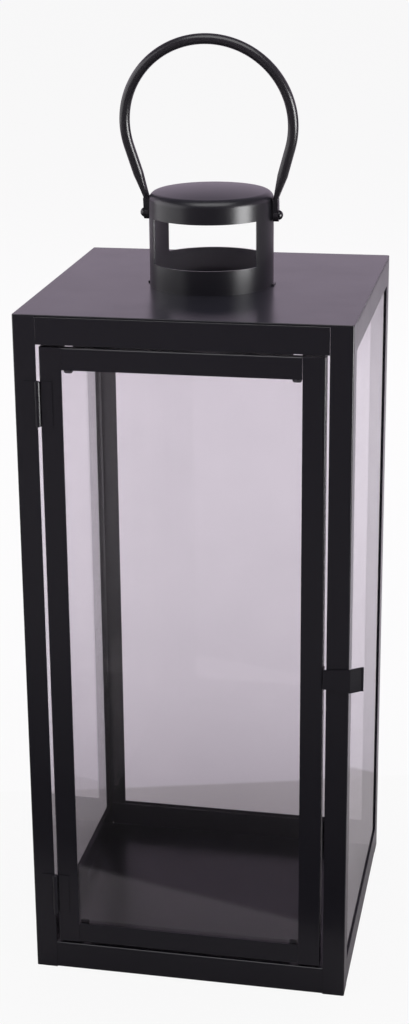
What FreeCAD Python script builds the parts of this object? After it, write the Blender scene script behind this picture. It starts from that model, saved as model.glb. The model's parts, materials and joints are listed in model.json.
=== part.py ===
import FreeCAD, Part
import math
import os
import Sketcher

# Metal candle lantern with glass panes, a hinged glass door, a vent chimney and a carrying handle.
# Millimetres. Z is up, the front is -Y, and the origin is the middle of the base where it stands.

V = FreeCAD.Vector
UP = V(0, 0, 1)

# ---------------------------------------------------------------- driving sizes

SIZES = {
    # body frame
    "body_width": 220,          # square body, over the corner posts
    "body_height": 475.5,       # top of the posts, under the lid
    "sheet": 0.8,               # steel sheet of frame, tray, door and hinges
    "bend": 1.2,                # outside radius of every fold
    "post_leg": 15,             # width of a corner post on each face
    "seam": 0.15,               # open line of a butt joint between two strips
    "rail_height": 20,          # bottom rails
    "top_rail_height": 18.5,
    "ledge": 15,                # fold of the top rails that carries the lid
    "front_cap": 8,             # fold on top of the front bottom rail
    "tray_height": 19,          # upturned walls of the floor tray
    # panes
    "glass": 3,
    "glass_gap": 0.2,           # room on each face of a fixed pane
    "foot_gap": 0.1,            # room under a fixed pane, clear of the sill's fold
    "head_gap": 0.7,            # room above a fixed pane
    "holder_lip": 10,           # angle strip that keeps a pane's top edge in
    "holder_fold": 8,
    # lid
    "lid_sheet": 1,
    "lid_corner": 1.5,
    "lid_edge": 0.5,            # rounding of the lid's upper edge
    "vent_radius": 35,
    # chimney
    "tube_radius": 42,          # outside of the chimney tube and of its cap
    "tube_sheet": 1,
    "tube_bottom_band": 16.5,   # closed band under the windows
    "window_height": 30.6,
    "tube_top_band": 10.4,      # closed band above the windows
    "window_half_angle": 56.5,  # half of the arc that one window takes
    "shoulder": 5.5,            # round edge of the cap
    "dome_rise": 8.6,           # from the top of the tube to the crown
    "rim_gap": 0.1,             # room round the cap's rim inside the tube
    "rim_depth": 6,
    "foot_width": 8,
    "foot_reach": 1.3,
    # carrying handle
    "pivot_rise": 47.5,         # pivot above the lid
    "handle_lean": 8.3,         # how far the handle stands forward of upright
    "rod_radius": 3.5,
    "loop_radius": 56.5,        # centre line of the round loop
    "loop_rise": 61.5,          # centre of the loop above the pivot
    "leg_angle": 16,            # slope of the straight legs
    "rod_start": 27,            # height above the pivot where the rod is still round
    "neck_height": 11,          # height above the pivot where it is fully flattened
    "neck_width": 7.4,
    "neck_side": 0.8,           # share of the neck's width and thickness that its flat sides take
    "eye_thickness": 3.5,
    "eye_radius": 4.4,
    "eye_gap": 0.35,            # running room on each side of the eye
    "rivet_radius": 1.5,
    "rivet_gap": 0.05,          # running fit of the eye on its rivet
    "rivet_head_radius": 3.3,
    "rivet_head_height": 2.6,
    # door
    "hinge_side_gap": 2.1,
    "catch_side_gap": 2.3,
    "door_top_gap": 1.6,
    "door_bottom_gap": 2,
    "door_member": 14.8,        # width of the door frame seen from the front
    "door_flange": 8,           # depth of the door frame's folded rim
    "door_glass_gap": 0.1,      # room on each face of the door pane
    "door_glass_side_gap": 0.6,
    "tongue_width": 6,          # bent strips that hold the door pane
    "tongue_inset": 3.7,        # middle of a tongue from the end of its rail
    "tongue_reach": 2.6,        # how far a tongue shows past the frame
    "tongue_corner": 1.5,
    # hinges
    "hinge_length": 30,
    "hinge_inset": 22.5,        # from the door's end to the hinge
    "leaf_width": 9.5,
    "pin_radius": 1.1,
    "pin_gap": 0.03,            # running fit of a knuckle on its pin
    "pin_head_radius": 1.6,
    "pin_head_height": 0.5,
    "knuckle_gap": 0.2,
    "curl_angle": 24,           # where the rolled sheet ends short of its own leaf
    # door catch
    "catch_sheet": 0.7,
    "catch_height": 238,
    "catch_root": 6.5,          # length spot welded to the flange of the door
    "catch_narrow": 14,         # strip height at the gap
    "catch_wide": 17,           # strip height at the finger tab
    "catch_gap": 0.35,          # room between strip and post
    "catch_past_post": 0.8,     # straight run beyond the post's corner
    "catch_jog": 5,             # how far the strip slants back beyond the corner
    "catch_jog_run": 6.6,
    "catch_tab": 1.8,           # straight end of the finger tab
    "catch_flare": 0.2,
    "catch_lead": 2,            # where the strip starts and stops widening, past each post edge
}

doc = FreeCAD.newDocument("Lantern")
sheet = doc.addObject("Spreadsheet::Sheet", "Sizes")
for row, (alias, number) in enumerate(SIZES.items(), start=1):
    sheet.set("A%d" % row, alias)
    sheet.set("B%d" % row, str(number))
    sheet.setAlias("B%d" % row, alias)
doc.recompute()


class Size:
    """A length that knows both its number and the expression it is worked out from."""

    def __init__(self, number, words):
        self.number = float(number)
        self.words = words

    def __add__(self, other):
        other = as_size(other)
        return Size(self.number + other.number, "(%s + %s)" % (self.words, other.words))

    def __sub__(self, other):
        other = as_size(other)
        return Size(self.number - other.number, "(%s - %s)" % (self.words, other.words))

    def __mul__(self, other):
        other = as_size(other)
        return Size(self.number * other.number, "(%s * %s)" % (self.words, other.words))

    def __truediv__(self, other):
        other = as_size(other)
        return Size(self.number / other.number, "(%s / %s)" % (self.words, other.words))

    def __neg__(self):
        return Size(-self.number, "(0 - %s)" % self.words)


def as_size(value):
    return value if isinstance(value, Size) else Size(value, repr(float(value)))


def cell(alias):
    return Size(sheet.get(alias), "Sizes." + alias)


def cosine(angle):
    return Size(math.cos(math.radians(angle.number)), "cos(%s)" % angle.words)


def sine(angle):
    return Size(math.sin(math.radians(angle.number)), "sin(%s)" % angle.words)


def root(size):
    return Size(math.sqrt(size.number), "sqrt(%s)" % size.words)


def bind(thing, prop, size):
    """Bind one property of an object to the sheet."""
    thing.setExpression(prop, as_size(size).words)


# ---------------------------------------------------------------- sketches and features

def new_body(label, turn=0):
    """A sheet-metal or turned piece, spun about the lantern's axis by turn degrees."""
    body = doc.addObject("PartDesign::Body", label)
    body.Label = label
    body.Placement = FreeCAD.Placement(V(0, 0, 0), FreeCAD.Rotation(UP, turn))
    return body


def new_sketch(body, plane, lift=0):
    """A sketch on one of the body's own planes, lifted along that plane's normal."""
    sketch = body.newObject("Sketcher::SketchObject", body.Label + "_sketch")
    sketch.AttachmentSupport = [(body_plane(body, plane), "")]
    sketch.MapMode = "FlatFace"
    bind(sketch, "AttachmentOffset.Base.z", lift)
    return sketch


def constrain(sketch, constraint, name, size):
    """Add a constraint that carries a size and bind it to the sheet."""
    sketch.renameConstraint(sketch.addConstraint(constraint), name)
    bind(sketch, "Constraints." + name, size)


def pin_point(sketch, geometry, end, x, y, name):
    """Hold one end of an edge at x, y."""
    x, y = as_size(x), as_size(y)
    constrain(sketch, Sketcher.Constraint("DistanceX", -1, 1, geometry, end, x.number), name + "x", x)
    constrain(sketch, Sketcher.Constraint("DistanceY", -1, 1, geometry, end, y.number), name + "y", y)


def direction(start, end):
    """Unit step from one corner to the next along an axis."""
    step_x = as_size(end[0]).number - as_size(start[0]).number
    step_y = as_size(end[1]).number - as_size(start[1]).number
    length = math.hypot(step_x, step_y)
    return round(step_x / length), round(step_y / length)


def rounded(corners):
    """Turn corners (x, y) or (x, y, radius) into points, each with the arc that leads away from it."""
    points = []
    for place, corner in enumerate(corners):
        if len(corner) == 2:
            points.append((corner[0], corner[1], None))
            continue
        came = direction(corners[place - 1], corner)
        goes = direction(corner, corners[(place + 1) % len(corners)])
        x, y, radius = as_size(corner[0]), as_size(corner[1]), as_size(corner[2])
        start = (x - radius * came[0], y - radius * came[1])
        end = (x + radius * goes[0], y + radius * goes[1])
        centre = (start[0] + radius * goes[0], start[1] + radius * goes[1])
        left = came[0] * goes[1] - came[1] * goes[0] > 0
        points.append((start[0], start[1], (centre, left, "x")))
        points.append((end[0], end[1], None))
    return points


def add_arc(sketch, start, end, centre, left):
    """Arc from start to end about centre; left means it turns anticlockwise."""
    middle = V(as_size(centre[0]).number, as_size(centre[1]).number, 0)
    first, last = (start, end) if left else (end, start)
    angles = [math.atan2(as_size(p[1]).number - middle.y, as_size(p[0]).number - middle.x)
              for p in (first, last)]
    if angles[1] < angles[0]:
        angles[1] += 2 * math.pi
    radius = math.hypot(as_size(start[0]).number - middle.x, as_size(start[1]).number - middle.y)
    return sketch.addGeometry(Part.ArcOfCircle(Part.Circle(middle, UP, radius), *angles), False)


def chain(sketch, points, closed, name):
    """Join points (x, y, arc) by lines and arcs; an arc is (centre, left, coordinate that is held)."""
    count = len(points)
    joints = count if closed else count - 1
    ends = []
    for place in range(joints):
        point, after = points[place], points[(place + 1) % count]
        if point[2] is None:
            line = Part.LineSegment(V(as_size(point[0]).number, as_size(point[1]).number, 0),
                                    V(as_size(after[0]).number, as_size(after[1]).number, 0))
            ends.append((sketch.addGeometry(line, False), 1, 2))
        else:
            centre, left, _ = point[2]
            edge = add_arc(sketch, point, after, centre, left)
            ends.append((edge, 1, 2) if left else (edge, 2, 1))
    for place in range(joints if closed else joints - 1):
        edge, _, finish = ends[place]
        following, start, _ = ends[(place + 1) % count]
        sketch.addConstraint(Sketcher.Constraint("Coincident", edge, finish, following, start))
    for place in range(joints):
        point = points[place]
        edge, start, _ = ends[place]
        pin_point(sketch, edge, start, point[0], point[1], "%s%d" % (name, place))
        if point[2] is not None:
            centre, _, held = point[2]
            kind = "DistanceX" if held == "x" else "DistanceY"
            size = as_size(centre[0] if held == "x" else centre[1])
            constrain(sketch, Sketcher.Constraint(kind, -1, 1, edge, 3, size.number),
                      "%s%dc" % (name, place), size)
    if not closed:
        pin_point(sketch, ends[-1][0], ends[-1][2], points[-1][0], points[-1][1], name + "end")


def outline(sketch, points, name="p"):
    chain(sketch, points, True, name)


def rectangle(sketch, low, high, name="r"):
    outline(sketch, rounded([low, (high[0], low[1]), high, (low[0], high[1])]), name)


def circle(sketch, x, y, radius, name="c"):
    edge = sketch.addGeometry(
        Part.Circle(V(as_size(x).number, as_size(y).number, 0), UP, radius.number), False)
    pin_point(sketch, edge, 3, x, y, name)
    constrain(sketch, Sketcher.Constraint("Radius", edge, radius.number), name + "r", radius)
    return edge


def pad(body, sketch, length, symmetric=False, backwards=False):
    feature = body.newObject("PartDesign::Pad", body.Label + "_pad")
    feature.Profile = sketch
    bind(feature, "Length", length)
    feature.Midplane = symmetric
    feature.Reversed = backwards
    return feature


def pocket_through(body, sketch):
    """Cut the sketch's outline right through, both ways."""
    feature = body.newObject("PartDesign::Pocket", body.Label + "_cut")
    feature.Profile = sketch
    feature.Type = "ThroughAll"
    feature.Midplane = True
    return feature


def body_axis(body, axis):
    return [part for part in body.Origin.OriginFeatures if part.Role == axis + "_Axis"][0]


def body_plane(body, plane):
    return [part for part in body.Origin.OriginFeatures if part.Role == plane + "_Plane"][0]


def revolve(body, sketch, axis, angle=360):
    """Turn the sketch about one of the body's own axes; part turns lie evenly about the sketch."""
    feature = body.newObject("PartDesign::Revolution", body.Label + "_turned")
    feature.Profile = sketch
    feature.ReferenceAxis = (body_axis(body, axis), [""])
    bind(feature, "Angle", angle)
    feature.Midplane = True
    return feature


# ---------------------------------------------------------------- shared places

half = cell("body_width") / 2
thin = cell("sheet")
fold = cell("bend")
inner_fold = fold - thin
front = -half
inside = half - thin                                        # inner face of a post's leg
glass_out = inside - cell("glass_gap")                      # outer face of a fixed pane
glass_in = glass_out - cell("glass")
tray_half = glass_in - cell("glass_gap")                    # outer face of the tray's walls
frame_top = cell("body_height")
lid_top = frame_top + cell("lid_sheet")
between_posts = cell("body_width") - (cell("post_leg") + cell("seam")) * 2

tube_out = cell("tube_radius")
tube_in = tube_out - cell("tube_sheet")
window_low = lid_top + cell("tube_bottom_band")
window_high = window_low + cell("window_height")
tube_top = window_high + cell("tube_top_band")
pivot_z = lid_top + cell("pivot_rise")

door_left = -half + cell("post_leg") + cell("hinge_side_gap")
door_right = half - cell("post_leg") - cell("catch_side_gap")
door_low = cell("rail_height") + cell("door_bottom_gap")
door_high = frame_top - cell("top_rail_height") - cell("door_top_gap")

bore = cell("pin_radius") + cell("pin_gap")
knuckle = bore + thin
hinge_x = door_left - cell("hinge_side_gap") / 2
hinge_y = front - knuckle

SIDES = {"front": 0, "right": 90, "back": 180, "left": 270}
CORNERS = {"front_left": 0, "front_right": 90, "back_right": 180, "back_left": 270}


# ---------------------------------------------------------------- body frame

def corner_post(place, turn):
    """Angle strip, folded along the lantern's corner, from the ground to the lid."""
    body = new_body("corner_post_" + place, turn)
    sketch = new_sketch(body, "XY")
    leg = -half + cell("post_leg")
    outline(sketch, rounded([
        (-half, -half, fold), (leg, -half), (leg, -inside),
        (-inside, -inside, inner_fold), (-inside, leg), (-half, leg)]))
    pad(body, sketch, frame_top)


def rail(label, turn, corners):
    """Folded strip that runs between two posts; corners are its section, seen along the rail."""
    body = new_body(label, turn)
    sketch = new_sketch(body, "YZ")
    outline(sketch, rounded(corners))
    pad(body, sketch, between_posts, symmetric=True)


def bottom_rail(side, turn):
    """Outer face with a narrow sill below that carries the pane; the front one is capped instead."""
    height = cell("rail_height")
    sill = [(-tray_half, 0), (-half, 0, fold)]
    if side == "front":
        cap_end = -half + cell("front_cap")
        face = [(-half, height, fold), (cap_end, height), (cap_end, height - thin),
                (-inside, height - thin, inner_fold)]
    else:
        face = [(-half, height), (-inside, height)]
    rail("bottom_rail_" + side, turn, sill + face + [(-inside, thin, inner_fold), (-tray_half, thin)])


def top_rail(side, turn):
    """Outer face under the lid with a wide ledge above, to which the lid is welded."""
    low = frame_top - cell("top_rail_height")
    edge = -half + cell("ledge")
    rail("top_rail_" + side, turn, [
        (-half, low), (-half, frame_top, fold), (edge, frame_top), (edge, frame_top - thin),
        (-inside, frame_top - thin, inner_fold), (-inside, low)])


def pane_holder(side, turn):
    """Small angle under the top rail that keeps the pane's upper edge from falling in."""
    high = frame_top - thin
    low = high - cell("holder_lip")
    edge = -tray_half + cell("holder_fold")
    rail("pane_holder_" + side, turn, [
        (-tray_half, low), (-tray_half, high, fold), (edge, high), (edge, high - thin),
        (-tray_half + thin, high - thin, inner_fold), (-tray_half + thin, low)])


def floor_tray():
    """Floor with four upturned walls: two folded channels that share one bottom, corners relieved."""
    body = new_body("floor_tray")
    height = cell("tray_height")
    length = (tray_half - fold) * 2
    for plane in ("YZ", "XZ"):
        sketch = new_sketch(body, plane)
        outline(sketch, rounded([
            (-tray_half, height), (-tray_half, 0, fold), (tray_half, 0, fold), (tray_half, height),
            (tray_half - thin, height), (tray_half - thin, thin, inner_fold),
            (-tray_half + thin, thin, inner_fold), (-tray_half + thin, height)]))
        pad(body, sketch, length, symmetric=True)


def pane(label, length, width, low, high, x, y):
    """A flat pane with its lower front left corner at x, y."""
    box = doc.addObject("Part::Box", label)
    box.Label = label
    bind(box, "Length", length)
    bind(box, "Width", width)
    bind(box, "Height", high - low)
    bind(box, "Placement.Base.x", x)
    bind(box, "Placement.Base.y", y)
    bind(box, "Placement.Base.z", low)


def fixed_panes():
    """Back pane the full width inside the posts; side panes stop short of it."""
    low = thin + cell("foot_gap")
    high = frame_top - thin - cell("head_gap")
    side_end = glass_in - cell("glass_gap")
    pane("glass_back", glass_out * 2, cell("glass"), low, high, -glass_out, glass_in)
    pane("glass_left", cell("glass"), glass_out + side_end, low, high, -glass_out, -glass_out)
    pane("glass_right", cell("glass"), glass_out + side_end, low, high, glass_in, -glass_out)


# ---------------------------------------------------------------- lid and chimney

def edges_at_height(shape, z):
    """Names of the edges that lie wholly at one height."""
    names = []
    for number, edge in enumerate(shape.Edges, start=1):
        box = edge.BoundBox
        if abs(box.ZMin - z) < 1e-4 and abs(box.ZMax - z) < 1e-4:
            names.append("Edge%d" % number)
    return names


def lid():
    """Flat plate with rounded corners, a softened upper edge and a round vent in the middle."""
    body = new_body("lid")
    sketch = new_sketch(body, "XY", frame_top)
    round_off = cell("lid_corner")
    outline(sketch, rounded([
        (-half, -half, round_off), (half, -half, round_off),
        (half, half, round_off), (-half, half, round_off)]))
    plate = pad(body, sketch, cell("lid_sheet"))
    doc.recompute()
    soft = body.newObject("PartDesign::Fillet", "lid_soft_edge")
    soft.Base = (plate, edges_at_height(plate.Shape, lid_top.number))
    bind(soft, "Radius", cell("lid_edge"))
    vent = new_sketch(body, "XY", frame_top)
    circle(vent, 0, 0, cell("vent_radius"))
    pocket_through(body, vent)


def chimney_tube():
    """Rolled tube on the lid with a window in front and one behind, and a small foot on each side."""
    body = new_body("chimney_tube")
    wall = new_sketch(body, "XZ")
    rectangle(wall, (tube_in, lid_top), (tube_out, tube_top))
    revolve(body, wall, "Z")
    windows = new_sketch(body, "YZ")
    clear = cell("tube_sheet")
    for name, way in (("f", -1), ("b", 1)):
        rectangle(windows, ((tube_in - clear) * way, window_low), ((tube_out + clear) * way, window_high), name)
    cut = body.newObject("PartDesign::Groove", "chimney_tube_windows")
    cut.Profile = windows
    cut.ReferenceAxis = (body_axis(body, "Z"), [""])
    bind(cut, "Angle", cell("window_half_angle") * 2)
    cut.Midplane = True
    feet = new_sketch(body, "XZ")
    for name, way in (("l", -1), ("r", 1)):
        rectangle(feet, ((tube_out - cell("tube_sheet") / 2) * way, lid_top),
                  ((tube_out + cell("foot_reach")) * way, lid_top + cell("tube_sheet")), name)
    pad(body, feet, cell("foot_width"), symmetric=True)
    hole = new_sketch(body, "YZ")
    circle(hole, 0, pivot_z, cell("rivet_radius"))
    pocket_through(body, hole)


def chimney_cap():
    """Pressed cap: a shallow dome with a round shoulder, flush with the tube, and a rim inside it."""
    body = new_body("chimney_cap")
    sketch = new_sketch(body, "XZ")
    turn, wall = cell("shoulder"), cell("tube_sheet")
    crown = tube_top + cell("dome_rise")
    # the dome is centred on the axis and runs smoothly into the shoulder
    reach = tube_out - turn
    drop = cell("dome_rise")
    dome = (reach * reach + drop * drop - turn * turn) / ((drop - turn) * 2)
    meet_x = reach * dome / (dome - turn)
    meet_z = crown - dome + root(dome * dome - meet_x * meet_x)
    rim_out = tube_in - cell("rim_gap")
    rim_low = tube_top - cell("rim_depth")
    outline(sketch, [
        (rim_out, rim_low, None), (rim_out, tube_top, None),
        (tube_out, tube_top, ((reach, tube_top), True, "x")),
        (meet_x, meet_z, ((as_size(0), crown - dome), True, "x")), (0, crown, None),
        (0, crown - wall, None), (reach, tube_top + turn - wall, None),
        (rim_out - wall, tube_top, None), (rim_out - wall, rim_low, None)])
    revolve(body, sketch, "Z")


def handle_rivet(side, turn):
    """Headed pin fixed in the chimney tube; the handle's eye turns on it."""
    body = new_body("handle_rivet_" + side, turn)
    head = tube_out + cell("eye_gap") * 2 + cell("eye_thickness")
    top = head + cell("rivet_head_height")
    round_x = head + (cell("rivet_head_height") - cell("rivet_head_radius") * cell("rivet_head_radius")
                      / cell("rivet_head_height")) / 2
    shank = cell("rivet_radius")
    sketch = new_sketch(body, "XY")
    bind(body, "Placement.Base.z", pivot_z)
    outline(sketch, [
        (tube_in, 0, None), (top, 0, ((round_x, as_size(0)), True, "y")),
        (head, cell("rivet_head_radius"), None), (head, shank, None), (tube_in, shank, None)])
    revolve(body, sketch, "X")


# ---------------------------------------------------------------- carrying handle

def leg_sketch(body, x, z, tilt):
    """A sketch across the rod at x, z, turned by tilt to stand square to it."""
    sketch = new_sketch(body, "XY")
    sketch.AttachmentOffset = FreeCAD.Placement(V(0, 0, 0), FreeCAD.Rotation(V(0, 1, 0), 1))
    bind(sketch, "AttachmentOffset.Base.x", x)
    bind(sketch, "AttachmentOffset.Base.z", z)
    bind(sketch, "AttachmentOffset.Rotation.Angle", tilt)
    return sketch


def leg_section(body, x, z, across, along, corner_x, corner_y, tilt):
    """Round or flattened section of the rod, drawn with four arcs; across and along are half sizes."""
    sketch = leg_sketch(body, x, z, tilt)
    bulge, tip = across - corner_x, along - corner_y
    side = across - (corner_y * corner_y + bulge * bulge) / (bulge * 2)
    end = along - (corner_x * corner_x + tip * tip) / (tip * 2)
    nought = as_size(0)
    outline(sketch, [
        (corner_x, -corner_y, ((side, nought), True, "x")),
        (corner_x, corner_y, ((nought, end), True, "y")),
        (-corner_x, corner_y, ((-side, nought), True, "x")),
        (-corner_x, -corner_y, ((nought, -end), True, "y"))])
    return sketch


def carry_handle():
    """Round rod bent to a loop; its ends are hammered flat and drilled for the rivets."""
    body = new_body("carry_handle")
    body.Placement = FreeCAD.Placement(V(0, 0, 0), FreeCAD.Rotation(V(1, 0, 0), 1))
    bind(body, "Placement.Base.z", pivot_z)
    bind(body, "Placement.Rotation.Angle", cell("handle_lean"))

    slope, rise, rod = cell("leg_angle"), cell("loop_rise"), cell("rod_radius")
    side_x = cell("loop_radius") * cosine(slope)
    side_z = rise - cell("loop_radius") * sine(slope)
    low_z = cell("rod_start")
    low_x = side_x - (side_z - low_z) * sine(slope) / cosine(slope)
    path = new_sketch(body, "XZ")
    chain(path, [
        (low_x, low_z, None), (side_x, side_z, ((as_size(0), rise), True, "y")),
        (-side_x, side_z, None), (-low_x, low_z, None)], False, "rod")
    round_end = leg_sketch(body, low_x, low_z, slope)
    circle(round_end, 0, 0, rod)
    loop = body.newObject("PartDesign::AdditivePipe", "carry_handle_loop")
    loop.Profile = round_end
    loop.Spine = (path, ["Edge1", "Edge2", "Edge3"])

    thick = cell("eye_thickness") / 2
    eye_x = tube_out + cell("eye_gap") + thick
    wide = cell("neck_width") / 2
    share = cell("neck_side")
    diagonal = rod * sine(as_size(45))
    flatten = body.newObject("PartDesign::AdditiveLoft", "carry_handle_flattening")
    flatten.Profile = leg_section(body, low_x, low_z, rod, rod, diagonal, diagonal, slope)
    flatten.Sections = [leg_section(
        body, eye_x, cell("neck_height"), thick, wide, thick * share, wide * share, 0)]
    flatten.Ruled = True

    eye = new_sketch(body, "YZ", eye_x - thick)
    around = root(cell("eye_radius") * cell("eye_radius") - wide * wide)
    outline(eye, [
        (wide, cell("neck_height"), None), (-wide, cell("neck_height"), None),
        (-wide, around, ((as_size(0), as_size(0)), True, "y")), (wide, around, None)])
    plate = pad(body, eye, cell("eye_thickness"))
    other = body.newObject("PartDesign::Mirrored", "carry_handle_other_end")
    other.Originals = [flatten, plate]
    other.MirrorPlane = (body_plane(body, "YZ"), [""])
    body.Tip = other
    hole = new_sketch(body, "YZ")
    circle(hole, 0, 0, cell("rivet_radius") + cell("rivet_gap"))
    pocket_through(body, hole)


# ---------------------------------------------------------------- door

def door_stile(side, edge, inward):
    """Upright of the door: flat face with a rim folded back along the door's outer edge."""
    body = new_body("door_stile_" + side)
    sketch = new_sketch(body, "XY", door_low)
    member = edge + cell("door_member") * inward
    rim = edge + thin * inward
    back = front + cell("door_flange")
    outline(sketch, rounded([
        (edge, front, fold), (member, front), (member, front + thin),
        (rim, front + thin, inner_fold), (rim, back), (edge, back)]))
    pad(body, sketch, door_high - door_low)


def door_rail(side, edge, inward):
    """Cross piece of the door; its rim runs on behind the uprights, and two tongues slit from the rim
    are bent over the back of the pane."""
    body = new_body("door_rail_" + side)
    left = door_left + cell("door_member") + cell("seam")
    right = door_right - cell("door_member") - cell("seam")
    member = edge + cell("door_member") * inward
    rim = edge + thin * inward
    back = front + cell("door_flange")
    section = new_sketch(body, "YZ", left)
    outline(section, rounded([
        (front, edge, fold), (front, member), (front + thin, member),
        (front + thin, rim, inner_fold), (back, rim), (back, edge)]))
    pad(body, section, right - left)
    rim_ends = new_sketch(body, "YZ", door_left + fold)
    rectangle(rim_ends, (front + thin, edge), (back, rim))
    pad(body, rim_ends, door_right - door_left - fold * 2)
    behind = front + thin + cell("glass") + cell("door_glass_gap") * 2
    slot = new_sketch(body, "XY", edge)
    tongue = new_sketch(body, "XZ", -behind)
    reach = cell("tongue_width") / 2
    tip = edge + (cell("door_member") + cell("tongue_reach")) * inward
    for middle, name in ((left + cell("tongue_inset"), "a"), (right - cell("tongue_inset"), "b")):
        rectangle(slot, (middle - reach, behind + thin), (middle + reach, back + thin), name)
        outline(tongue, rounded([
            (middle - reach, edge), (middle - reach, tip, cell("tongue_corner")),
            (middle + reach, tip, cell("tongue_corner")), (middle + reach, edge)]), name)
    pocket_through(body, slot)
    pad(body, tongue, thin, backwards=True)


def door_glass():
    side = thin + cell("door_glass_side_gap")
    pane("door_glass", door_right - door_left - side * 2, cell("glass"), door_low + side,
         door_high - side, door_left + side, front + thin + cell("door_glass_gap"))


def hinge_leaf(label, middle, away, cuts):
    """Flat leaf rolled round the pin; the knuckles that belong to the other leaf are cut away."""
    body = new_body(label)
    bind(body, "Placement.Base.z", middle)
    end_x, end_y = cosine(cell("curl_angle")), sine(cell("curl_angle"))
    leaf_end = hinge_x + cell("leaf_width") * away
    centre = (hinge_x, hinge_y)
    left = away > 0
    sketch = new_sketch(body, "XY")
    outline(sketch, [
        (leaf_end, front, None), (hinge_x, front, (centre, left, "x")),
        (hinge_x + knuckle * end_x * away, hinge_y + knuckle * end_y, None),
        (hinge_x + bore * end_x * away, hinge_y + bore * end_y, (centre, not left, "x")),
        (hinge_x, hinge_y + bore, None), (leaf_end, hinge_y + bore, None)])
    pad(body, sketch, cell("hinge_length"), symmetric=True)
    clear = knuckle + cell("knuckle_gap")
    window = new_sketch(body, "XZ")
    for place, (low, high) in enumerate(cuts):
        rectangle(window, (hinge_x - clear, low), (hinge_x + clear, high), "k%d" % place)
    pocket_through(body, window)


def hinge_pin(label, middle):
    """Pin with both ends peened over to small heads."""
    body = new_body(label)
    bind(body, "Placement.Base.x", hinge_x)
    bind(body, "Placement.Base.y", hinge_y)
    bind(body, "Placement.Base.z", middle)
    end = cell("hinge_length") / 2
    head, top = cell("pin_head_radius"), cell("hinge_length") / 2 + cell("pin_head_height")
    sketch = new_sketch(body, "XZ")
    outline(sketch, [
        (0, -top, None), (head / 2, -top, None), (head, -end, None), (cell("pin_radius"), -end, None),
        (cell("pin_radius"), end, None), (head, end, None), (head / 2, top, None), (0, top, None)])
    revolve(body, sketch, "Z")


def hinge(place, middle):
    """The door's leaf holds the middle third of the pin and the frame's leaf both ends."""
    end = cell("hinge_length") / 2
    third = end / 3
    play = cell("knuckle_gap") / 2
    hinge_leaf("hinge_frame_leaf_" + place, middle, -1, [(-third - play, third + play)])
    hinge_leaf("hinge_door_leaf_" + place, middle, 1,
               [(-end - play, -third + play), (third - play, end + play)])
    hinge_pin("hinge_pin_" + place, middle)


def door_catch():
    """Spring strip from the door's rim, out through the gap, across the post and on to a finger tab."""
    body = new_body("door_catch")
    half_sheet = cell("catch_sheet") / 2
    stem_x = door_right + half_sheet
    run_y = front - cell("catch_gap") - half_sheet
    start_y = run_y + cell("catch_root")
    bend_x = half + cell("catch_past_post")
    step_x, step_y = bend_x + cell("catch_jog_run"), run_y + cell("catch_jog")
    path = new_sketch(body, "XY", cell("catch_height"))
    chain(path, [
        (stem_x, start_y, None), (stem_x, run_y, None), (bend_x, run_y, None),
        (step_x, step_y, None), (step_x + cell("catch_tab"), step_y + cell("catch_flare"), None)],
        False, "bend")
    section = new_sketch(body, "XZ", -start_y)
    tall = cell("catch_wide") / 2
    rectangle(section, (stem_x - half_sheet, cell("catch_height") - tall),
              (stem_x + half_sheet, cell("catch_height") + tall))
    strip = body.newObject("PartDesign::AdditivePipe", "door_catch_strip")
    strip.Profile = section
    strip.Spine = (path, ["Edge1", "Edge2", "Edge3", "Edge4"])
    strip.Transition = "Round corner"
    taper = new_sketch(body, "XZ")
    slim = cell("catch_narrow") / 2
    begin, finish = half - cell("post_leg") + cell("catch_lead"), half + cell("catch_lead")
    for name, way in (("u", 1), ("d", -1)):
        near, far = cell("catch_height") + slim * way, cell("catch_height") + tall * way
        outline(taper, [
            (stem_x - cell("catch_lead"), near, None), (begin, near, None), (finish, far, None),
            (finish, far + cell("catch_lead") * way, None),
            (stem_x - cell("catch_lead"), far + cell("catch_lead") * way, None)], name)
    pocket_through(body, taper)


for side, turn in SIDES.items():
    bottom_rail(side, turn)
    top_rail(side, turn)
    if side != "front":
        pane_holder(side, turn)
for place, turn in CORNERS.items():
    corner_post(place, turn)
floor_tray()
fixed_panes()
lid()
chimney_tube()
chimney_cap()
for side, turn in (("right", 0), ("left", 180)):
    handle_rivet(side, turn)
carry_handle()
door_stile("hinge_side", door_left, 1)
door_stile("catch_side", door_right, -1)
door_rail("bottom", door_low, 1)
door_rail("top", door_high, -1)
door_glass()
from_end = cell("hinge_inset") + cell("hinge_length") / 2
hinge("upper", door_high - from_end)
hinge("lower", door_low + from_end)
door_catch()


# ---------------------------------------------------------------- check and write

doc.recompute()
pieces = [thing for thing in doc.Objects
          if thing.isDerivedFrom("PartDesign::Body") or thing.isDerivedFrom("Part::Box")]
for thing in doc.Objects:
    if "Invalid" in thing.State or "Error" in thing.State:
        raise RuntimeError("%s could not be worked out: %s" % (thing.Label, thing.State))
for piece in pieces:
    if piece.Shape.isNull() or not piece.Shape.isValid() or len(piece.Shape.Solids) != 1:
        raise RuntimeError("%s is not one sound solid" % piece.Label)

os.makedirs("parts", exist_ok=True)
for piece in pieces:
    piece.Shape.exportStep("parts/%s.step" % piece.Label)
print("%d pieces written" % len(pieces))
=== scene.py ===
import bpy
import json
import math
from mathutils import Matrix, Vector

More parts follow.
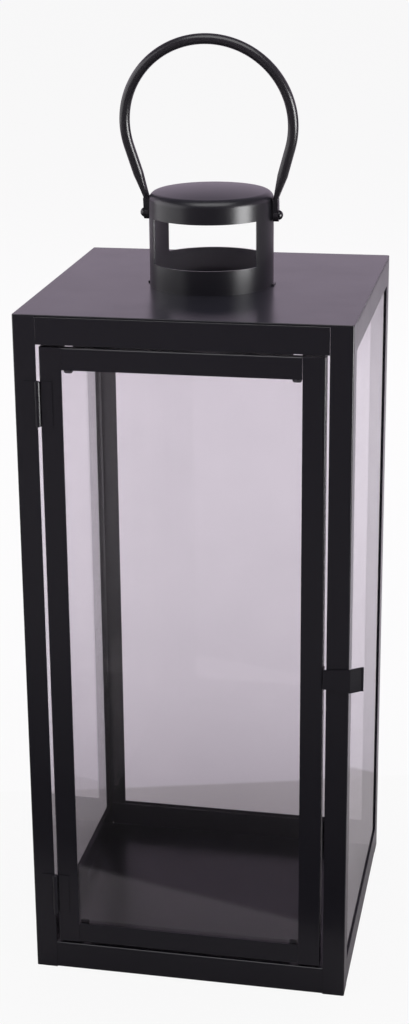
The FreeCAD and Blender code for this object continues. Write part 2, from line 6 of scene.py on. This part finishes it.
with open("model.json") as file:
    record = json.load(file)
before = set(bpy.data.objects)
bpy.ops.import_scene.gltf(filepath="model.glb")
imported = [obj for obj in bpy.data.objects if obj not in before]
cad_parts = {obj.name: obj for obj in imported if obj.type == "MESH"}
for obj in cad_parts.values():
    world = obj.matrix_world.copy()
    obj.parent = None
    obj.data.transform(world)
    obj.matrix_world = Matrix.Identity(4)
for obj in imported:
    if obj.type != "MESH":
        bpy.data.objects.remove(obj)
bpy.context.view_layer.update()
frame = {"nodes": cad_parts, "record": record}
nodes = frame["nodes"]
print("frame loaded:", len(nodes), "nodes")


# shader maths as plain expressions
class Wire:                                       # one output socket of a node
    def __init__(self, shader, socket):
        self.shader = shader
        self.socket = socket

    def mathWith(self, operation, first, second):
        return self.shader.node("ShaderNodeMath", {"operation": operation}, {0: first, 1: second})

    def __add__(self, other):
        return self.mathWith("ADD", self, other)

    def __radd__(self, other):
        return self.mathWith("ADD", other, self)

    def __sub__(self, other):
        return self.mathWith("SUBTRACT", self, other)

    def __rsub__(self, other):
        return self.mathWith("SUBTRACT", other, self)

    def __mul__(self, other):
        return self.mathWith("MULTIPLY", self, other)

    def __rmul__(self, other):
        return self.mathWith("MULTIPLY", other, self)


class Shader:                                     # the node tree of one material or of the world
    def __init__(self, owner):
        owner.use_nodes = True
        self.tree = owner.node_tree
        self.tree.nodes.clear()

    def node(self, kind, settings=None, sockets=None, output=0):
        made = self.tree.nodes.new(kind)
        for name, setting in (settings or {}).items():
            setattr(made, name, setting)
        for name, value in (sockets or {}).items():
            if isinstance(value, Wire):
                self.tree.links.new(value.socket, made.inputs[name])
            else:
                made.inputs[name].default_value = value
        return Wire(self, made.outputs[output]) if len(made.outputs) else None

    def part(self, vector, axis):                 # one coordinate: 0, 1 or 2
        return self.node("ShaderNodeSeparateXYZ", None, {0: vector}, axis)

    def ray(self, kind):                          # 1 for rays of this kind
        return self.node("ShaderNodeLightPath", output=kind)

    def mixColour(self, factor, first, second):
        return self.node("ShaderNodeMix", {"data_type": "RGBA"}, {0: factor, 6: first, 7: second}, 2)

    def between(self, value, low, high, outLow=0.0, outHigh=1.0):     # clamped linear step
        return self.node("ShaderNodeMapRange", {"clamp": True}, {
            "Value": value, "From Min": low, "From Max": high, "To Min": outLow, "To Max": outHigh})

    def noise(self, place, scale, detail=2.0, rough=0.5):
        return self.node("ShaderNodeTexNoise", None, {
            "Vector": place, "Scale": scale, "Detail": detail, "Roughness": rough})

    def bump(self, height, distance, under=None):
        sockets = {"Height": height, "Distance": distance}
        if under is not None:
            sockets["Normal"] = under
        return self.node("ShaderNodeBump", None, sockets)


def newShader(name):
    material = bpy.data.materials.new(name)
    return material, Shader(material)


# black powder coat on sheet steel; noise scales are in bumps per metre
steelLook = {
    "colour": (0.0115, 0.0114, 0.0158, 1),        # a little violet
    "dusty": (0.0180, 0.0176, 0.0235, 1),         # where fine dust has settled
    "paintedLightInside": (0.170, 0.167, 0.181, 1),             # painted light: the inside of the chimney is coloured lighter, standing in for light falling on it
    "index": 1.42,
    "roughness": 0.245,                           # stays clear of 0.274, where the denoiser draws outlines
    "roughnessSpread": 0.05,
    "dustRoughness": 0.01,
    "patchScale": 34,                             # uneven patches in gloss and dust
    "dustFacing": (0.35, 1.0),                    # how far up a face looks before it holds dust
    "dustPatches": (0.30, 0.70, 0.5, 1.0),
    "dustShare": 0.6,
    "speckScale": 1500,
    "speckLevels": (0.60, 0.72, 0, 0.165),
    "peelScale": 950,                             # orange peel
    "peelDepth": 0.000012,
    "wavesScale": 11,                             # slow unevenness of thin sheet
    "wavesDepth": 0.0009,
}
fittingLook = dict(steelLook, roughness=0.24, peelScale=1300, peelDepth=0.000008, wavesDepth=0.0002)
handleLook = dict(fittingLook, colour=(0.0270, 0.0255, 0.0300, 1))        # painted light: coloured lighter grey than the other fittings, standing in for the glints along the handle
capLook = dict(steelLook, roughness=0.315)                                # pressed, so less even
tubeLook = dict(capLook, wallMiddle=0.0415)                               # radius of the middle of its sheet


def powderCoat(name, look):
    material, coat = newShader(name)
    place = coat.node("ShaderNodeTexCoord", output="Object")
    upward = coat.part(coat.node("ShaderNodeNewGeometry", output="Normal"), 2)
    patches = coat.noise(place, look["patchScale"], 4, 0.6)
    dust = coat.between(upward, *look["dustFacing"]) * coat.between(patches, *look["dustPatches"])
    specks = coat.between(coat.noise(place, look["speckScale"], 1, 0.4), *look["speckLevels"])
    colour = coat.mixColour(dust * look["dustShare"] + specks, look["colour"], look["dusty"])
    if "wallMiddle" in look:                      # painted light: the inside of a tube is coloured lighter, standing in for light falling on it
        across = coat.part(place, 0)
        along = coat.part(place, 1)
        blend = 0.0001
        inside = coat.between(across * across + along * along, (look["wallMiddle"] + blend) ** 2,
                              (look["wallMiddle"] - blend) ** 2)
        colour = coat.mixColour(inside, colour, look["paintedLightInside"])
    roughness = patches * look["roughnessSpread"] + (look["roughness"] - look["roughnessSpread"] / 2)
    waves = coat.bump(coat.noise(place, look["wavesScale"], 1), look["wavesDepth"])
    peel = coat.bump(coat.noise(place, look["peelScale"], 2), look["peelDepth"], waves)
    surface = coat.node("ShaderNodeBsdfPrincipled", None, {
        "Base Color": colour, "Roughness": roughness + dust * look["dustRoughness"],
        "IOR": look["index"], "Normal": peel})
    coat.node("ShaderNodeOutputMaterial", None, {0: surface})
    return material


# wiped glass panes
glassLook = {
    "tint": (0.958, 0.946, 0.958, 1),
    "smeared": (0.925, 0.915, 0.928, 1),          # where a wiped pane has dried unevenly
    "smearScale": 16,
    "smearLevels": (0.35, 0.75),
    "index": 1.5,
}


def paneGlass(name, look):
    material, glass = newShader(name)
    place = glass.node("ShaderNodeTexCoord", output="Object")
    smears = glass.between(glass.noise(place, look["smearScale"], 4, 0.6), *look["smearLevels"])
    surface = glass.node("ShaderNodeBsdfPrincipled", None, {
        "Base Color": glass.mixColour(smears, look["tint"], look["smeared"]), "Roughness": 0.0,
        "IOR": look["index"], "Transmission Weight": 1.0})
    glass.node("ShaderNodeOutputMaterial", None, {0: surface})
    return material


slotFinishes = {
    "painted_steel": powderCoat("paintedSteel", steelLook),
    "painted_fittings": powderCoat("paintedFittings", fittingLook),
    "clear_glass": paneGlass("clearGlass", glassLook),
}
ownFinishes = {                                   # pieces that differ from their slot's finish
    "chimney_tube": powderCoat("tubeSteel", tubeLook),
    "chimney_cap": powderCoat("capSteel", capLook),
    "carry_handle": powderCoat("handleSteel", handleLook),
}
slotOf = {piece["node"]: piece["material_slot"] for piece in frame["record"]["subparts"]}
for name, piece in nodes.items():
    for slot in piece.material_slots:
        slot.material = ownFinishes.get(name, slotFinishes[slotOf[name]])
print("finishes given to", len(nodes), "pieces")


# surroundings: levels by direction, where (low, high) is a stretch of the direction's y or z
wallLook = {
    "colour": (1.0, 0.84, 1.04, 1),
    "backLevel": 0.74,                            # behind the lantern
    "frontLevel": 0.25,                           # and behind the camera
    "frontToBack": (-0.75, 0.55),
    "overheadShare": 0.18,                        # share of the level that is left overhead
    "upToOverhead": (0.28, 0.70),
    "throughGlass": 0.80,                         # level that shows low down through the panes
    "lowDown": (0.45, 0.30),
}


def studioWalls(look):
    world = bpy.data.worlds.new("studio")
    bpy.context.scene.world = world
    walls = Shader(world)
    toward = walls.node("ShaderNodeTexCoord", output="Generated")
    along = walls.part(toward, 1)
    height = walls.part(toward, 2)
    level = (walls.between(along, *look["frontToBack"], look["frontLevel"], look["backLevel"])
             * walls.between(height, *look["upToOverhead"], 1.0, look["overheadShare"]))
    seen = walls.ray("Is Camera Ray")
    through = walls.ray("Is Transmission Ray") * walls.between(height, *look["lowDown"])
    level = level * (1 - through) + through * look["throughGlass"]
    backdrop = walls.node("ShaderNodeBackground", None, {
        "Color": walls.mixColour(seen, look["colour"], (1, 1, 1, 1)), "Strength": level * (1 - seen) + seen})
    walls.node("ShaderNodeOutputWorld", None, {0: backdrop})


# table top and paper, drawn on one floor; depth runs from the table's front edge to its back edge
tableLook = {
    "reach": 30,
    "whiteness": 0.92,                            # share of plain white that the camera sees of the floor
    "turn": 15.5,                                 # degrees from the lantern's front to the table's
    "front": -0.209,
    "back": 0.192,
    "edge": 0.002,
    "tone": (0.47, 0.45, 0.46, 1),
    "shadedNearTone": (0.62, 0.59, 0.63, 1),            # painted shade: paper just behind the table, darker near the lantern
    "farTone": (0.95, 0.91, 0.96, 1),
    "farDepth": 1.5,
    "litRight": (0.10, 0.90, 0, 0.50),            # painted light: the paper gets pale sooner to the right
    "frontTone": (0.60, 0.58, 0.60),              # before the table
    "nearShade": (-0.70, -0.25, 0.60, 0.10),      # painted shade for mirrored rays: depths, then levels; darkest just before the table, as its shadow
    # painted light: the mirrored floor gets lighter farther out in front
    "farShade": (-4.5, -1.6, 1.0, 0.0),
    "sideShade": (-0.6, 0.0, 1.8, 1.0),           # painted light: the mirrored floor is lighter to the left
}


def tableAndPaper(look):
    far = look["reach"]
    mesh = bpy.data.meshes.new("floor")
    mesh.from_pydata([(-far, -far, 0), (far, -far, 0), (far, far, 0), (-far, far, 0)], [], [(0, 1, 2, 3)])
    floor = bpy.data.objects.new("floor", mesh)
    bpy.context.scene.collection.objects.link(floor)
    material, paper = newShader("paper")
    place = paper.node("ShaderNodeTexCoord", output="Object")
    across = paper.part(place, 0)
    along = paper.part(place, 1)
    turn = math.radians(look["turn"])
    depth = along * math.cos(turn) - across * math.sin(turn)
    # painted shade: the paper behind the table is darker near the lantern and paler with depth and to the
    # right
    pale = depth + paper.between(across, *look["litRight"])
    behind = paper.mixColour(paper.between(pale, look["back"], look["farDepth"]),
                             look["shadedNearTone"], look["farTone"])
    mirrored = paper.ray("Is Glossy Ray")
    # painted shade and light on the floor before the table, for mirrored rays only
    shade = paper.between(depth, *look["nearShade"]) + paper.between(depth, *look["farShade"])
    shade = shade * paper.between(across, *look["sideShade"]) * mirrored + 1 - mirrored
    front = paper.node("ShaderNodeVectorMath", {"operation": "SCALE"}, {0: look["frontTone"], "Scale": shade})
    edge = look["edge"]
    onTable = paper.between(depth, look["front"] - edge, look["front"] + edge)
    pastTable = paper.between(depth, look["back"] - edge, look["back"] + edge)
    tone = paper.mixColour(pastTable, paper.mixColour(onTable, front, look["tone"]), behind)
    lit = paper.node("ShaderNodeBsdfDiffuse", None, {"Color": tone})
    white = paper.node("ShaderNodeEmission", None, {"Color": (1, 1, 1, 1), "Strength": 1.0})
    surface = paper.node("ShaderNodeMixShader", None, {
        0: paper.ray("Is Camera Ray") * look["whiteness"], 1: lit, 2: white})
    paper.node("ShaderNodeOutputMaterial", None, {0: surface})
    mesh.materials.append(material)


# soft boxes: azimuth in degrees from the front, turning to the right; each is aimed at a height on the axis
softBoxes = {
    "rightBox": {"azimuth": 70.8, "distance": 1.30, "raised": 0.37, "aimed": 0.35,
                 "width": 0.66, "height": 0.68, "radiance": 18.0, "lights": False},
    "frontBox": {"azimuth": 10, "distance": 0.90, "raised": 1.90, "aimed": 0.40,
                 "width": 1.80, "height": 1.20, "radiance": 4.0, "lights": False},
    "leftPanel": {"azimuth": -76, "distance": 1.60, "raised": 0.70, "aimed": 0.35,
                  "width": 2.40, "height": 1.35, "radiance": 2.0, "lights": False},
    "overhead": {"azimuth": 60, "distance": 0.20, "raised": 2.20, "aimed": 0.40,
                 "width": 2.60, "height": 2.60, "radiance": 2.4, "mirrored": False},
    "backLamp": {"azimuth": 180, "distance": 1.60, "raised": 1.50, "aimed": -0.60,
                 "width": 2.40, "height": 1.40, "radiance": 0.6, "mirrored": False},
}


def softBox(name, look):
    lamp = bpy.data.lights.new(name, "AREA")
    lamp.shape = "RECTANGLE"
    lamp.size = look["width"]
    lamp.size_y = look["height"]
    lamp.energy = look["radiance"] * math.pi * look["width"] * look["height"]
    box = bpy.data.objects.new(name, lamp)
    turn = math.radians(look["azimuth"])
    place = Vector((math.sin(turn), -math.cos(turn), 0)) * look["distance"] + Vector((0, 0, look["raised"]))
    box.location = place
    box.rotation_euler = (Vector((0, 0, look["aimed"])) - place).to_track_quat("-Z", "Y").to_euler()
    box.visible_camera = False
    box.visible_transmission = False
    box.visible_glossy = look.get("mirrored", True)
    box.visible_diffuse = look.get("lights", True)
    bpy.context.scene.collection.objects.link(box)


studioWalls(wallLook)
tableAndPaper(tableLook)
for name, look in softBoxes.items():
    softBox(name, look)
print("studio lit by", len(softBoxes), "soft boxes")


# the photograph's own view
cameraLook = {
    "place": (0.2373, -1.2613, 0.7554),
    "aim": (-0.0348, 0.0, 0.3333),
    "roll": -0.892,                               # degrees
    "lens": 67.438,
    "shift": (0.0386, -0.0312),
}


def photoCamera(look):
    camera = bpy.data.objects.new("camera", bpy.data.cameras.new("camera"))
    bpy.context.scene.collection.objects.link(camera)
    camera.data.lens = look["lens"]
    camera.data.shift_x, camera.data.shift_y = look["shift"]
    turn = (Vector(look["aim"]) - Vector(look["place"])).to_track_quat("-Z", "Y").to_matrix().to_4x4()
    roll = Matrix.Rotation(math.radians(look["roll"]), 4, "Z")
    camera.matrix_world = Matrix.Translation(look["place"]) @ turn @ roll
    bpy.context.scene.camera = camera


photoCamera(cameraLook)
bpy.context.scene.view_settings.view_transform = "Standard"
print("camera set")

bpy.context.view_layer.update()
